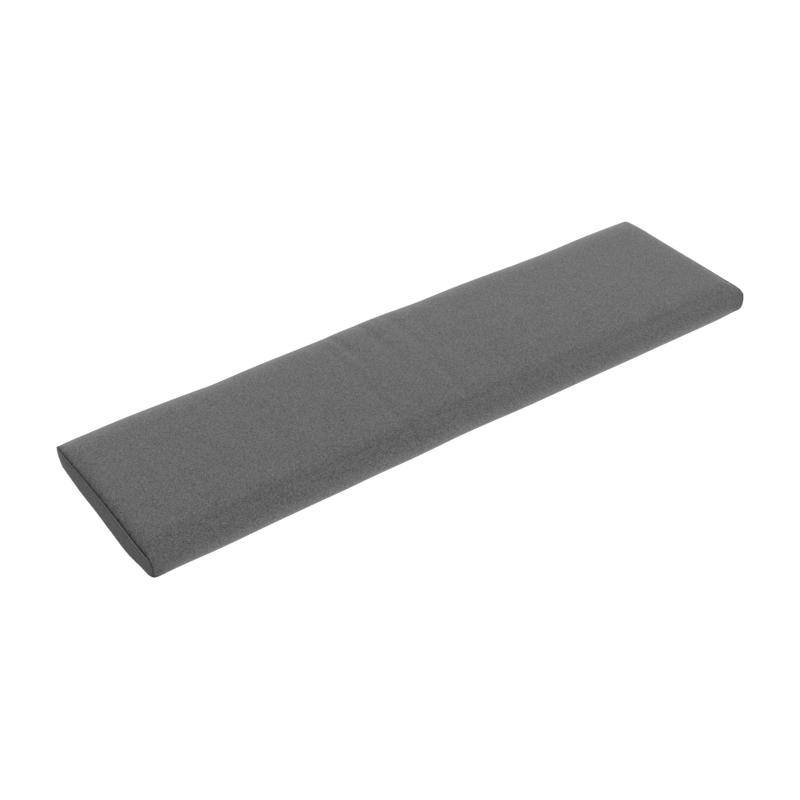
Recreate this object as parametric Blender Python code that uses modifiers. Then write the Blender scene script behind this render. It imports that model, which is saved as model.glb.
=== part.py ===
"""Bench cushion: a flat pad in a sewn cloth cover, lying on its underside.

Metres, +Z up, +X along the cushion, -Y its front. The origin is at the middle of the footprint,
on the surface that the cushion lies on.

One cloth wraps the pad's top, both long sides and the underside. A panel of the same cloth closes
each end, and the filling swells it outwards between its seams. Every surface starts as a cube that
runs from -1 to 1 along, across and up. The cube is cut at named stations, and pad_point lays its
corners on the cushion. Subdivision then rounds the cage.
"""

from collections import namedtuple
from math import copysign, sqrt

import bmesh
import bpy
from mathutils import Vector

# Whole cushion
LENGTH = 1.15                # from end seam to end seam
WIDTH = 0.320                # over the rolled long sides
THICKNESS = 0.0518           # from the underside to the middle of the top
CROWN = 0.003                # how far the top falls from its middle to its long sides
BOW = 0.0035                 # the long sides' sideways curve over the whole length

# Rolled long sides: how far the roll reaches in over the top and under the pad. A fullness of 1
# rolls right round, and 0 would leave a square edge.
FRONT_ROLL = 0.046
BACK_ROLL = 0.055
UNDER_ROLL = 0.0205
TOP_FULLNESS = 1.0
UNDER_FULLNESS = 0.9

# Where the wrap turns in to an end seam, whose corners are squarer than the rolls
LEFT_END_ROLL = 0.0240       # length of the turn
RIGHT_END_ROLL = 0.0360
LIFT_ROLL = 0.0165           # length of the underside's rise to a seam, at both ends
END_DROP = 0.0077            # the top comes down
END_DRAW = 0.0057            # each long side comes in
SEAM_CORNER = 0.014          # roll width at the seam
SEAM_FULLNESS = 0.65
SEAM_REACH = 0.060           # the wrap follows a seam's wander over this length

# End panels
PANEL_CLOTH = 0.002          # two plies of the cover cloth
SEAM_LIP = 0.0008            # the panel's edge stands proud of the wrap
SEAM_GAP = 0.0003            # clearance between the panel and the pad
PANEL_SAG = 0.4              # moves a panel's fullest line below its middle
SLANT_STEP = 0.02            # share of the half width or height over which a slant is taken

# How the long sides and the top stray from the even form, by distance along the cushion
Uneven = namedtuple("Uneven", "x front_out back_out rise")
UNEVENNESS = (
    Uneven(-0.575, 0.0004, -0.0022, 0.0000),
    Uneven(-0.555, -0.0016, 0.0004, 0.0000),
    Uneven(-0.530, -0.0019, 0.0010, 0.0000),
    Uneven(-0.460, -0.0002, 0.0022, 0.0000),
    Uneven(-0.380, -0.0009, 0.0006, 0.0000),
    Uneven(-0.300, -0.0010, -0.0011, -0.0010),
    Uneven(-0.250, -0.0007, 0.0001, -0.0005),
    Uneven(-0.200, -0.0013, 0.0009, -0.0005),
    Uneven(-0.120, -0.0008, 0.0009, 0.0000),
    Uneven(-0.040, -0.0024, 0.0022, 0.0010),
    Uneven(0.020, -0.0016, 0.0027, 0.0010),
    Uneven(0.090, 0.0000, 0.0011, 0.0000),
    Uneven(0.200, 0.0001, 0.0015, 0.0000),
    Uneven(0.300, 0.0006, -0.0006, -0.0005),
    Uneven(0.385, 0.0002, -0.0015, -0.0010),
    Uneven(0.470, 0.0001, 0.0009, 0.0000),
    Uneven(0.520, -0.0004, 0.0012, 0.0000),
    Uneven(0.552, -0.0020, 0.0010, 0.0000),
    Uneven(0.575, 0.0004, -0.0008, 0.0000),
)

# The end seams and panels, by place across the cushion (-1 front, 1 back): how far each seam lies
# in from its plane, and the lower left one farther, how far each panel swells beyond its seam, and
# how high the lower seam lifts
EndRow = namedtuple("EndRow", "across left_in low_in right_in left_swell right_swell lift")
END_ROWS = (
    EndRow(-1.00, 0.0030, 0.0010, 0.0010, 0.0000, 0.0000, 0.0066),
    EndRow(-0.85, 0.0009, 0.0014, -0.0009, 0.0028, 0.0036, 0.0052),
    EndRow(-0.60, 0.0006, 0.0008, 0.0004, 0.0064, 0.0050, 0.0022),
    EndRow(-0.25, 0.0007, 0.0005, 0.0013, 0.0069, 0.0052, 0.0040),
    EndRow(0.10, 0.0002, 0.0005, 0.0018, 0.0060, 0.0052, 0.0055),
    EndRow(0.30, -0.0002, 0.0004, 0.0014, 0.0055, 0.0052, 0.0050),
    EndRow(0.45, -0.0005, 0.0005, 0.0008, 0.0049, 0.0055, 0.0045),
    EndRow(0.70, -0.0012, 0.0012, -0.0006, 0.0030, 0.0055, 0.0060),
    EndRow(0.88, -0.0011, 0.0014, 0.0003, 0.0014, 0.0033, 0.0078),
    EndRow(1.00, 0.0006, 0.0010, 0.0018, 0.0004, 0.0000, 0.0085),
)

# Soft creases that cross the top where the pad was once bent, from the back edge to the front
Crease = namedtuple("Crease", "back_x front_x back_depth middle_depth front_depth half_width")
CREASES = (
    Crease(-0.117, -0.125, 0.0014, 0.0007, 0.0022, 0.014),
    Crease(-0.093, -0.078, 0.0030, 0.0000, 0.0010, 0.013),
    Crease(-0.035, -0.035, 0.0023, 0.0004, 0.0002, 0.014),
    Crease(0.026, -0.008, 0.0000, 0.0004, 0.0029, 0.014),
    Crease(0.018, 0.018, 0.0026, 0.0000, 0.0000, 0.016),
    Crease(0.056, 0.056, 0.0004, 0.0011, 0.0006, 0.030),
    Crease(0.104, 0.098, 0.0012, 0.0003, 0.0008, 0.014),
)
CREASE_SIDE = 0.1            # share of a crease's depth that is left on the long sides
CREASE_FADE = 4              # how late it fades towards them

# Stations of the cage
END_STATIONS = (0.002, 0.006, 0.012, 0.020, 0.036)   # from each end seam
PLAIN_STEP = 0.075                                   # along the plain stretches
CREASED_FROM, CREASED_TO = -0.138, 0.138
CREASED_STEP = 0.0115
ACROSS_STATIONS = (0.0, 0.40, 0.76, 0.86, 0.94)      # shares of the half width, on both sides
UP_STATIONS = (-0.5, 0.0, 0.5)                       # shares of the half height
ROUNDING = 1                                         # subdivision level

CLOTH_COLOUR = (0.150, 0.150, 0.149)
CLOTH_ROUGHNESS = 0.92
COLLECTION = "bench_cushion"


def clear_scene():
    for scene_object in list(bpy.data.objects):
        bpy.data.objects.remove(scene_object, do_unlink=True)


def cloth_material(name):
    material = bpy.data.materials.new(name)
    material.use_nodes = True
    shader = material.node_tree.nodes["Principled BSDF"]
    shader.inputs["Base Color"].default_value = (*CLOTH_COLOUR, 1.0)
    shader.inputs["Roughness"].default_value = CLOTH_ROUGHNESS
    shader.inputs["Metallic"].default_value = 0.0
    return material


def between(start, stop, share):
    return start + (stop - start) * share


def on_curve(rows, column, at):
    """A column's value on a smooth curve through the rows, at a place in their first column."""
    last = len(rows) - 1
    at = min(max(at, rows[0][0]), rows[last][0])
    start = max(i for i in range(last) if rows[i][0] <= at)

    def value(i):
        return getattr(rows[i], column)

    def slope(i):
        before, after = max(i - 1, 0), min(i + 1, last)
        return (value(after) - value(before)) / (rows[after][0] - rows[before][0])

    span = rows[start + 1][0] - rows[start][0]
    t = (at - rows[start][0]) / span
    rise = value(start + 1) - value(start)
    leave, arrive = slope(start) * span, slope(start + 1) * span
    return (value(start) + leave * t + (3 * rise - 2 * leave - arrive) * t ** 2
            + (leave + arrive - 2 * rise) * t ** 3)


def end_roll(x):
    return LEFT_END_ROLL if x < 0 else RIGHT_END_ROLL


def end_turn(x, roll):
    """0 along the cushion, then up to 1 at an end seam on a quarter of an ellipse."""
    into = max(0.0, 1.0 - (LENGTH / 2 - abs(x)) / roll)
    return 1.0 - sqrt(max(0.0, 1.0 - into ** 2))


def crease_depth(x, b):
    """How deep the creases are at x, and b across the cushion (-1 front, 1 back)."""
    towards_back = (1 + b) / 2
    depth = 0.0
    for crease in CREASES:
        middle = between(crease.front_x, crease.back_x, towards_back)
        off = (x - middle) / crease.half_width
        if abs(off) < 1:
            deepest = between(crease.middle_depth, crease.back_depth if b > 0 else crease.front_depth,
                              abs(b))
            depth += deepest * (1 - off ** 2) ** 2
    return depth * between(1, CREASE_SIDE, abs(b) ** CREASE_FADE)


def section(x, b):
    """Half width, underside height and half height of the cross-section at x, for a place b."""
    turn = end_turn(x, end_roll(x))
    half_width = WIDTH / 2 - END_DRAW * turn
    under = on_curve(END_ROWS, "lift", b) * end_turn(x, LIFT_ROLL)
    top = THICKNESS + on_curve(UNEVENNESS, "rise", x) - END_DROP * turn - CROWN * b * b
    return half_width, under, (top - under) / 2


def seam_in(a, b, c):
    """How far the wrap is drawn in along X by the wander of the nearer end seam."""
    reach = max(0.0, 1 - (1 - abs(a)) * LENGTH / 2 / SEAM_REACH)
    if a < 0:
        wander = on_curve(END_ROWS, "left_in", b) + on_curve(END_ROWS, "low_in", b) * (1 - c) / 2
    else:
        wander = on_curve(END_ROWS, "right_in", b)
    return wander * reach ** 2


def pad_point(a, b, c):
    """The cushion's point for the cube's point: a along, b across, c up, each -1 to 1."""
    x = a * LENGTH / 2
    half_width, under, half_height = section(x, b)
    turn = end_turn(x, end_roll(x))
    over = FRONT_ROLL if b < 0 else BACK_ROLL
    roll = between(over if c > 0 else UNDER_ROLL, SEAM_CORNER, turn)
    fullness = between(TOP_FULLNESS if c > 0 else UNDER_FULLNESS, SEAM_FULLNESS, turn)
    into = max(0.0, 1 - (1 - abs(b)) * half_width / roll)
    out = abs(b) * half_width
    if into > 0:
        out = half_width - roll + roll * into * sqrt(1 - fullness * c * c / 2)
    z = under + half_height + half_height * c * sqrt(1 - fullness * into ** 2 / 2)
    out += on_curve(UNEVENNESS, "front_out" if b < 0 else "back_out", x) * b * b
    crease = crease_depth(x, b) * (1 + c) / 2
    drawn_in = seam_in(a, b, c) * copysign(1, a)
    return Vector((x - drawn_in, copysign(out - crease * b * b, b) + BOW * (0.5 - a * a), z - crease))


def bulge(side, b, c):
    """How far an end panel swells beyond its seam, fullest a little below its middle."""
    full = on_curve(END_ROWS, "left_swell" if side < 0 else "right_swell", b)
    return full * (1 - c * c) * (1 - PANEL_SAG * c)


def bulge_slant(side, b, c):
    """How much longer a way through the panel is along X than square to the cloth."""
    half_width, _, half_height = section(LENGTH / 2, b)
    here = bulge(side, b, c)
    across = (bulge(side, b - copysign(SLANT_STEP, b), c) - here) / (SLANT_STEP * half_width)
    up = (bulge(side, b, c - copysign(SLANT_STEP, c)) - here) / (SLANT_STEP * half_height)
    return sqrt(1 + across ** 2 + up ** 2)


def body_point(a, b, c):
    """The padded body: its ends stand back from the panels by the cloth and the gap."""
    point = pad_point(a, b, c)
    if abs(a) == 1:
        stand_back = (PANEL_CLOTH + SEAM_GAP) * bulge_slant(a, b, c)
        point.x += a * (bulge(a, b, c) - stand_back)
    return point


def panel_point(side, b, c):
    """An end panel's outer face, from the middle of its seam's plane."""
    point = pad_point(side, b, c) - Vector((side * LENGTH / 2, 0, 0))
    point.x += side * bulge(side, b, c)
    if abs(c) == 1:
        point.z += SEAM_LIP * c
    if abs(b) == 1:
        point.y += SEAM_LIP * b
    return point


def spread(start, stop, step):
    """Stations from start to stop, both included, about a step apart."""
    count = max(1, round((stop - start) / step))
    return [start + (stop - start) * i / count for i in range(count + 1)]


def along_stations():
    last_plain = LENGTH / 2 - END_STATIONS[-1]
    inner = (spread(-last_plain, CREASED_FROM, PLAIN_STEP)
             + spread(CREASED_FROM, CREASED_TO, CREASED_STEP)[1:-1]
             + spread(CREASED_TO, last_plain, PLAIN_STEP))
    ends = [side * (LENGTH / 2 - station) for side in (-1, 1) for station in END_STATIONS[:-1]]
    return [x / (LENGTH / 2) for x in sorted(inner + ends)]


def cut_cube(along, across, up):
    """A cube from -1 to 1 each way, cut square through at each station."""
    cage = bmesh.new()
    bmesh.ops.create_cube(cage, size=2.0)
    for axis, stations in enumerate((along, across, up)):
        square = Vector((0, 0, 0))
        square[axis] = 1.0
        for station in stations:
            bmesh.ops.bisect_plane(cage, geom=cage.verts[:] + cage.edges[:] + cage.faces[:],
                                   plane_co=square * station, plane_no=square)
    return cage


def finish_object(name, cage, collection):
    """Turn a cage into a named, rounded object with its own material."""
    mesh = bpy.data.meshes.new(name)
    cage.to_mesh(mesh)
    cage.free()
    mesh.shade_smooth()
    mesh.materials.append(cloth_material(name + "_cloth"))
    piece = bpy.data.objects.new(name, mesh)
    collection.objects.link(piece)
    rounding = piece.modifiers.new("rounding", 'SUBSURF')
    rounding.levels = ROUNDING
    rounding.render_levels = ROUNDING
    return piece


def across_stations():
    return sorted({side * share for side in (-1, 1) for share in ACROSS_STATIONS})


def make_padded_body(collection):
    cage = cut_cube(along_stations(), across_stations(), UP_STATIONS)
    sharp = cage.edges.layers.float.new("crease_edge")
    for edge in cage.edges:
        faces_end = [all(abs(v.co.x) == 1 for v in face.verts) for face in edge.link_faces]
        if any(faces_end) and not all(faces_end):
            edge[sharp] = 1.0
    for vert in cage.verts:
        vert.co = body_point(*vert.co)
    return finish_object("padded_body", cage, collection)


def make_end_panel(name, side, collection):
    cage = cut_cube((), across_stations(), UP_STATIONS)
    elsewhere = [face for face in cage.faces if any(v.co.x != side for v in face.verts)]
    bmesh.ops.delete(cage, geom=elsewhere, context='FACES')
    for vert in cage.verts:
        vert.co = panel_point(*vert.co)
    panel = finish_object(name, cage, collection)
    panel.location.x = side * LENGTH / 2
    cloth = panel.modifiers.new("cloth", 'SOLIDIFY')
    cloth.thickness = PANEL_CLOTH
    cloth.offset = -1.0
    cloth.use_even_offset = True
    return panel


def main():
    clear_scene()
    collection = bpy.data.collections.new(COLLECTION)
    bpy.context.scene.collection.children.link(collection)
    make_padded_body(collection)
    make_end_panel("end_panel_left", -1, collection)
    make_end_panel("end_panel_right", 1, collection)


main()
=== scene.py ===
"""Looks of the bench cushion: a flat foam pad in a sewn cover of heathered grey cloth.

Metres, +Z up, +X along the cushion, -Y its front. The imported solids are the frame. The cover is
worked out again from the same sizes on a fine grid. A cloth simulation settles it over its filling,
and the creases, the gathers and the sewn edges follow.
"""

import logging
from dataclasses import dataclass, field
from enum import Enum
from typing import NamedTuple

import bpy
import numpy as np
from mathutils import Matrix, Vector

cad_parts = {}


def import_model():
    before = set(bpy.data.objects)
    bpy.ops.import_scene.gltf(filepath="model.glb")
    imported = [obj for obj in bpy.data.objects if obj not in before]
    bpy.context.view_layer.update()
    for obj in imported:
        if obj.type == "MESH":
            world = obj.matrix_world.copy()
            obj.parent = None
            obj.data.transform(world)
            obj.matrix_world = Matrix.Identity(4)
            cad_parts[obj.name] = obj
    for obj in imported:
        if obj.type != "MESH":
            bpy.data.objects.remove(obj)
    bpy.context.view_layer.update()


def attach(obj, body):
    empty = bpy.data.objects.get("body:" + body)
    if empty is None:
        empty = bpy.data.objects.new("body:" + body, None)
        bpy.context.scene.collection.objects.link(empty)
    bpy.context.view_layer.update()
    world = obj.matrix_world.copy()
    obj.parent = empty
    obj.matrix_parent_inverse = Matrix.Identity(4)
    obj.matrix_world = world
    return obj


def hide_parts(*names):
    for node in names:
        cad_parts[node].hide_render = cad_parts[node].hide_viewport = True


LOG = logging.getLogger("bench_cushion")
BODY = "root"
YARN_PITCH = 0.0008  # from one yarn of the weave to the next
STREAK_WARP = 4  # yarns that a streak along the warp runs over
STREAK_WEFT = 3
BACK_SHARE = 0.65  # of the weave's height that is the yarns' round backs
DYE_PATCHES = 22.0  # patches of uneven dye in a metre
DYE_BANDS = (6.0, 320.0, 0)  # bands in a metre along and across
PATCH_SHARE = 0.6  # of the uneven dye that is its patches
MM = 0.001
PANEL_CLOTH = 2 * MM  # thickness of an end panel

Array = np.ndarray
Socket = bpy.types.NodeSocket
Tree = bpy.types.NodeTree
Piece = bpy.types.Object
Triple = tuple[float, float, float]
Pairs = tuple[tuple[float, float], ...]


class End(Enum):
    """An end of the cushion. The value is the side of the origin that it lies on, along X."""

    LEFT = -1
    RIGHT = 1


class Uneven(NamedTuple):
    """How the long sides and the top stray from the even form, at a distance along the cushion."""

    x: float
    front_out: float
    back_out: float
    rise: float


class EndRow(NamedTuple):
    """The end seams and panels at a place across the cushion (-1 front, 1 back)."""

    across: float
    left_in: float  # how far each seam lies in from its plane
    low_in: float  # how much farther in the lower left one lies
    right_in: float
    left_swell: float  # how far each panel swells beyond its seam
    right_swell: float
    lift: float  # how high the lower seam lifts


class SeamRow(NamedTuple):
    """How the left sewn edge lies at a place across (-1 front, 1 back), as shares."""

    across: float
    stand: float  # of the full height that the turned edge stands out
    gape: float  # of the groove's usual width
    dip: float  # of the depth that the wrap is drawn down beside the seam


class Crease(NamedTuple):
    """A soft trough (or a ridge, where the depth is below 0) from the back edge to the front."""

    back_x: float
    front_x: float
    back_depth: float
    middle_depth: float
    front_depth: float
    half_width: float


class Pucker(NamedTuple):
    """A short dent from one point to another, by place along X and by way over the cloth.

    The way starts on the middle line of the top and is negative towards the front.
    """

    x: float
    way: float
    to_x: float
    to_way: float
    depth: float
    half_width: float


class Wave(NamedTuple):
    """One of the waves that add up to an uneven line or surface."""

    length: float  # from crest to crest, metres
    share: float  # of the whole height
    shift: float  # radians


def table(kind: type, shares: int, *rows: tuple[float, ...]) -> tuple:
    """Makes a table's rows, whose first values are shares and whose rest are in millimetres."""
    return tuple(kind(*row[:shares], *(value / 1000 for value in row[shares:])) for row in rows)


UNEVENNESS = table(
    Uneven, 0,
    (-575, 0.4, -2.2, 0),
    (-555, -1.6, 0.4, 0),
    (-530, -1.9, 1, 0),
    (-460, -0.2, 2.2, 0),
    (-380, -0.9, 0.6, 0),
    (-300, -1, -1.1, -1),
    (-250, -0.7, 0.1, -0.5),
    (-200, -1.3, 0.9, -0.5),
    (-120, -0.8, 0.9, 0),
    (-40, -2.4, 2.2, 1),
    (20, -1.6, 2.7, 1),
    (90, 0, 1.1, 0),
    (200, 0.1, 1.5, 0),
    (300, 0.6, -0.6, -0.5),
    (385, 0.2, -1.5, -1),
    (470, 0.1, 0.9, 0),
    (520, -0.4, 1.2, 0),
    (552, -2, 1, 0),
    (575, 0.4, -0.8, 0),
)

END_ROWS = table(
    EndRow, 1,
    (-1, 3, 1, 1, 0, 0, 6.6),
    (-0.85, 0.9, 1, -0.9, 2.8, 3.6, 5.2),
    (-0.6, 0.6, 0.6, 0.4, 6.5, 5, 2.2),
    (-0.25, 0.7, 0.5, 1.3, 6.9, 5.2, 4),
    (0.1, 0.2, 0.5, 1.8, 6, 5.2, 5.5),
    (0.3, -0.2, 0.4, 1.4, 5.5, 5.2, 5),
    (0.45, -0.5, 0.5, 0.8, 4.9, 5.5, 4.5),
    (0.7, -1.2, 0.9, -0.6, 3.2, 5.5, 6),
    (0.88, -1.1, 0.9, 0.3, 1.4, 3.3, 7.8),
    (1, 0.6, 1, 1.8, 0.4, 0, 8.5),
)

SEAM_ROWS = table(
    SeamRow, 4,
    (-1, 0.3, 3.2, 0.3),
    (-0.9, 1.15, 1.8, 1.9),
    (-0.75, 1.2, 1.6, 1.9),
    (-0.58, 1.2, 1.2, 1.8),
    (-0.36, 1.1, 1.2, 1.8),
    (-0.12, 0.8, 1.2, 1.6),
    (0.1, 0.9, 1.2, 1.5),
    (0.35, 0.9, 1.2, 1.1),
    (0.6, 0.75, 1.5, 0.9),
    (0.88, 0.7, 1.8, 0.7),
    (1, 0.1, 1.6, 0),
)

CREASES = table(
    Crease, 0,
    (-316, -292, 0.3, 0.5, 0.2, 14),
    (-117, -125, 1.4, 0.7, 2.2, 14),
    (-93, -78, 3, 0, 1, 12),
    (-35, -35, 2.3, 0.4, 0.2, 14),
    (26, -8, 0, 0.4, 2.9, 14),
    (18, 18, 2.6, 0, 0, 16),
    (56, 56, 0.4, 1.1, 0.6, 30),
    (104, 98, 1.2, 0.3, 0.8, 14),
    (210, 225, 1, 0.4, 0, 22),
    (342, 252, 0, 1, 0.8, 24),
    (380, 375, 0, 0.2, 0.8, 20),
    (466, 470, 0.8, 1.4, 1.4, 48),
)

PUCKERS = table(
    Pucker, 0,
    (-55, -107, -79, -128, 0.7, 6),
    (-69, -166, -67, -186, 0.7, 4.5),
    (20, -112, -4, -128, 0.6, 6),
    (12, -144, -3, -180, 0.8, 5),
    (-91, 145, -90, 112, 0.8, 7),
    (-33, 147, -30, 116, 0.9, 7),
    (-6, 145, -8, 118, 0.7, 6),
    (27, 147, 31, 112, 1, 7),
    (68, 145, 66, 120, 0.6, 7),
    (-576, -150, -560, -151, 1.8, 4.5),
    (-576, -174, -560, -173, 1.6, 4),
    (-577, -187, -566, -184, 3, 4.5),
    (582, -163, 554, -166, 2.2, 7),
)

GATHER_WAVES = (
    Wave(0.0121, 0.30, 0.4),
    Wave(0.0187, 0.45, 2.1),
    Wave(0.0312, 0.25, 4.4),
)

EDGE_WAVES = (
    Wave(0.0067, 0.35, 1.1),
    Wave(0.0104, 0.35, 3.0),
    Wave(0.0173, 0.30, 0.6),
)

SETTLING_CLOTH = {"quality": 6, "mass": 0.3, "tension_stiffness": 12, "compression_stiffness": 12,
                  "shear_stiffness": 6, "bending_stiffness": 5, "pin_stiffness": 0.1}


def through(rows: tuple[NamedTuple, ...], column: str, at: Array) -> Array:
    """Reads a column of a table on a smooth curve through its rows.

    Between two rows the value is the cubic that meets both values, with each row's slope taken from
    the rows beside it.

    Args:
        rows: the table, in the order of its first column.
        column: the column to read.
        at: places in the first column.

    Returns:
        The value at each place, with the end values beyond the table.
    """
    places = np.array([row[0] for row in rows])
    values = np.array([getattr(row, column) for row in rows])
    before = np.maximum(np.arange(len(rows)) - 1, 0)
    after = np.minimum(np.arange(len(rows)) + 1, len(rows) - 1)
    slopes = (values[after] - values[before]) / (places[after] - places[before])
    at = np.clip(at, places[0], places[-1])
    start = np.clip(np.searchsorted(places, at, side="right") - 1, 0, len(rows) - 2)
    span = places[start + 1] - places[start]
    t = (at - places[start]) / span
    rise = values[start + 1] - values[start]
    leave, arrive = slopes[start] * span, slopes[start + 1] * span
    return (values[start] + leave * t + (3 * rise - 2 * leave - arrive) * t ** 2
            + (leave + arrive - 2 * rise) * t ** 3)


def between(start: float, stop: float, share: Array) -> Array:
    """The value a share of the way from start to stop."""
    return start + (stop - start) * share


def uneven_line(way: Array, waves: tuple[Wave, ...]) -> Array:
    """Adds up waves: the sum of each share times the sine of the way in that wave's turns."""
    return sum(wave.share * np.sin(2 * np.pi * way / wave.length + wave.shift) for wave in waves)


def cells(grid: Array, flip: bool = False) -> Array:
    """The four corners of each cell of a grid, the other way round where flip is true."""
    corners = [grid[:-1, :-1], grid[1:, :-1], grid[1:, 1:], grid[:-1, 1:]]
    return np.stack(corners[::-1] if flip else corners, 2)


def soft_dent(off: Array) -> Array:
    """A trough's section: (1 - off squared) squared, down to 0 at off = 1."""
    return np.clip(1 - off ** 2, 0, None) ** 2


def way_along(path: Array) -> Array:
    """Ways from a path's first point to each of its points."""
    return np.concatenate([[0], np.cumsum(np.linalg.norm(np.diff(path, axis=0), axis=1))])


def arc_even(path: Array, values: Array, count: int) -> Array:
    """Reads values, given at the points of a path, at a count of even ways along it."""
    way = way_along(path)
    return np.interp(np.linspace(0, way[-1], count), way, values)


@dataclass(frozen=True)
class PadForm:
    """The cushion's form without its creases, as a map from a cube that runs from -1 to 1."""

    length: float = 1.15
    width: float = 0.320
    thickness: float = 0.0518
    crown: float = 0.003  # how far the top falls from its middle to its long sides
    bow: float = 0.0035  # the long sides' sideways curve over the whole length
    front_roll: float = 0.046  # how far the rolled sides reach in over the top
    back_roll: float = 0.055
    under_roll: float = 0.0205
    top_fullness: float = 1.0  # 1 rolls right round, and 0 would leave a square edge
    under_fullness: float = 0.9
    end_roll: float = 0.0240  # where the cover turns in to the left end seam
    far_end_roll: float = 0.036  # and to the right one
    end_drop: float = 0.0077
    end_draw: float = 0.0057
    seam_corner: float = 0.014
    seam_fullness: float = 0.65
    seam_reach: float = 0.060  # the cover follows a seam's wander over this length
    panel_sag: float = 0.4  # moves a panel's fullest line below its middle
    far_seam: float = 0.35  # how open the right seam is, as a share of the left one

    def turn(self, x: Array) -> Array:
        """0 along the cushion, then up to 1 at an end seam on a quarter of an ellipse.

        Args:
            x: places along, in metres.

        Returns:
            The turn at each place.
        """
        roll = np.where(x < 0, self.end_roll, self.far_end_roll)
        into = np.clip(1 - (self.length / 2 - np.abs(x)) / roll, 0, 1)
        return 1 - np.sqrt(1 - into ** 2)

    def point(self, a: Array, b: Array, c: Array) -> Array:
        """Lays points of the cube's skin on the cushion.

        Each cross-section is a square with rounded sides, which shrinks with the turn towards an end
        seam. A point's way in towards a long side squeezes its height, and its height squeezes its
        way in, by the root of 1 less half the other's square.

        Args:
            a: places along, -1 to 1.
            b: places across, -1 (front) to 1 (back).
            c: places up, -1 to 1.

        Returns:
            Points, with the coordinates on the last axis.
        """
        a, b, c = np.broadcast_arrays(a, b, c)
        x = a * self.length / 2
        turn = self.turn(x)
        half_width = self.width / 2 - self.end_draw * turn
        under = through(END_ROWS, "lift", b) * turn
        top = (self.thickness + through(UNEVENNESS, "rise", x) - self.end_drop * turn
               - self.crown * b * b)
        half_height = (top - under) / 2
        over = np.where(b < 0, self.front_roll, self.back_roll)
        roll = np.where(c > 0, between(over, self.seam_corner, turn),
                        between(self.under_roll, self.seam_corner, turn))
        fullness = np.where(c > 0, between(self.top_fullness, self.seam_fullness, turn),
                            between(self.under_fullness, self.seam_fullness, turn))
        into = np.clip(1 - (1 - np.abs(b)) * half_width / roll, 0, 1)
        rolled = half_width - roll + roll * into * np.sqrt(1 - fullness * c * c / 2)
        out = np.where(into > 0, rolled, np.abs(b) * half_width)
        z = under + half_height + half_height * c * np.sqrt(1 - fullness * into ** 2 / 2)
        side = np.where(b < 0, through(UNEVENNESS, "front_out", x),
                        through(UNEVENNESS, "back_out", x))
        y = np.copysign(out + side * b * b, b) + self.bow * (0.5 - a * a)
        reach = np.clip(1 - (1 - np.abs(a)) * self.length / 2 / self.seam_reach, 0, 1)
        left_in = through(END_ROWS, "left_in", b) + through(END_ROWS, "low_in", b) * (1 - c) / 2
        seam_in = np.where(a < 0, left_in, through(END_ROWS, "right_in", b))
        return np.stack([x - np.sign(a) * seam_in * reach ** 2, y, z], axis=-1)

    def sewn(self, column: str, side: Array, b: Array) -> Array:
        """Reads a share of the sewn edge's form, which is the far one's where side is above 0."""
        return through(SEAM_ROWS, column, b) * np.where(side > 0, self.far_seam, 1.0)

    def flat_end(self, b: Array, c: Array) -> Array:
        """Places on the flat cloth of an end, in metres."""
        return np.stack([b * self.width / 2, c * self.thickness / 2], axis=-1)

    def swell(self, end: End, b: Array, c: Array) -> Array:
        """How far an end panel swells beyond its seam, fullest a little below its middle.

        It is the row's swell, times 1 - c squared, times 1 less the panel's sag share times c.
        """
        column = "left_swell" if end is End.LEFT else "right_swell"
        return through(END_ROWS, column, b) * (1 - c * c) * (1 - self.panel_sag * c)


@dataclass(frozen=True)
class SectionGrid:
    """The places across and up at which every cross-section is sampled.

    The ring is the grid's border, from the middle of the underside round by the front.
    """

    across: Array
    up: Array

    def crowded(self, across_power: float, up_power: float) -> "SectionGrid":
        """Draws the places towards the borders: the way in from one is raised to a power.

        Args:
            across_power: the power across.
            up_power: the power up.

        Returns:
            The crowded grid.
        """
        across = np.sign(self.across) * (1 - (1 - np.abs(self.across)) ** across_power)
        up = np.sign(self.up) * (1 - (1 - np.abs(self.up)) ** up_power)
        return SectionGrid(across, up)

    @classmethod
    def even(cls, form: PadForm, across_count: int, up_count: int) -> "SectionGrid":
        """Spaces the places evenly over the cloth of the middle cross-section.

        Args:
            form: the cushion's form.
            across_count: the number of places across, an odd one.
            up_count: the number of places up.

        Returns:
            The grid.
        """
        fine = np.linspace(-1, 1, 2001)
        top = form.point(np.zeros(1), fine, np.ones(1))
        side = form.point(np.zeros(1), np.ones(1), fine)
        return cls(arc_even(top, fine, across_count), arc_even(side, fine, up_count))

    def border(self) -> tuple[Array, Array]:
        """Indices across and up of the ring's points, in order.

        Returns:
            The indices across, and the indices up.
        """
        last_b, last_c = len(self.across) - 1, len(self.up) - 1
        across, up = np.arange(last_b), np.arange(last_c)
        b = np.concatenate([last_b - across, np.zeros(last_c, int), across, np.full(last_c, last_b)])
        c = np.concatenate([np.zeros(last_b, int), up, np.full(last_b, last_c), last_c - up])
        start = last_b // 2
        return np.roll(b, -start), np.roll(c, -start)

    def ring(self) -> tuple[Array, Array]:
        """Places across and up of the ring's points."""
        b, c = self.border()
        return self.across[b], self.up[c]

    def face(self) -> tuple[Array, Array]:
        """Places across and up of the whole grid, each with one row for each place across."""
        return np.meshgrid(self.across, self.up, indexing="ij")


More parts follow.
